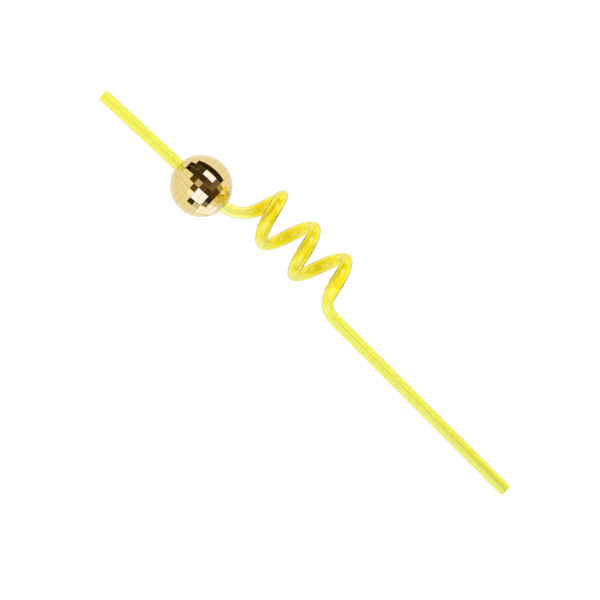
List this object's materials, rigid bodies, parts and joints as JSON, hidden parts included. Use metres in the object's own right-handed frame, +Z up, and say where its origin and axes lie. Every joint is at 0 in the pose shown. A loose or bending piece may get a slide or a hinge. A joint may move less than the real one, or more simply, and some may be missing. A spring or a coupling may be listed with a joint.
{
  "type": "swirl drinking straw",
  "caption": "Rigid plastic drinking straw with a swirl of round turns in its upper part and a small mirrored ball threaded on the mouth stem.",
  "frame": {"origin": "on the table, under the middle of the straw's bounding box as it lies at rest", "axes": "+X along the straw towards the lower end, +Y to the side on which the swirl stands out, +Z up from the table"},
  "size_m": [0.2698, 0.0418, 0.0299],
  "materials": {
    "straw_plastic": "clear yellow, glossy, see-through",
    "ball_metallised": "gold vacuum-metallised plastic, mirror bright"
  },
  "bodies": {
    "root": {"straw_tube": "straw_plastic", "ball_mouth_half": "ball_metallised", "ball_coil_half": "ball_metallised"}
  },
  "joints": []
}
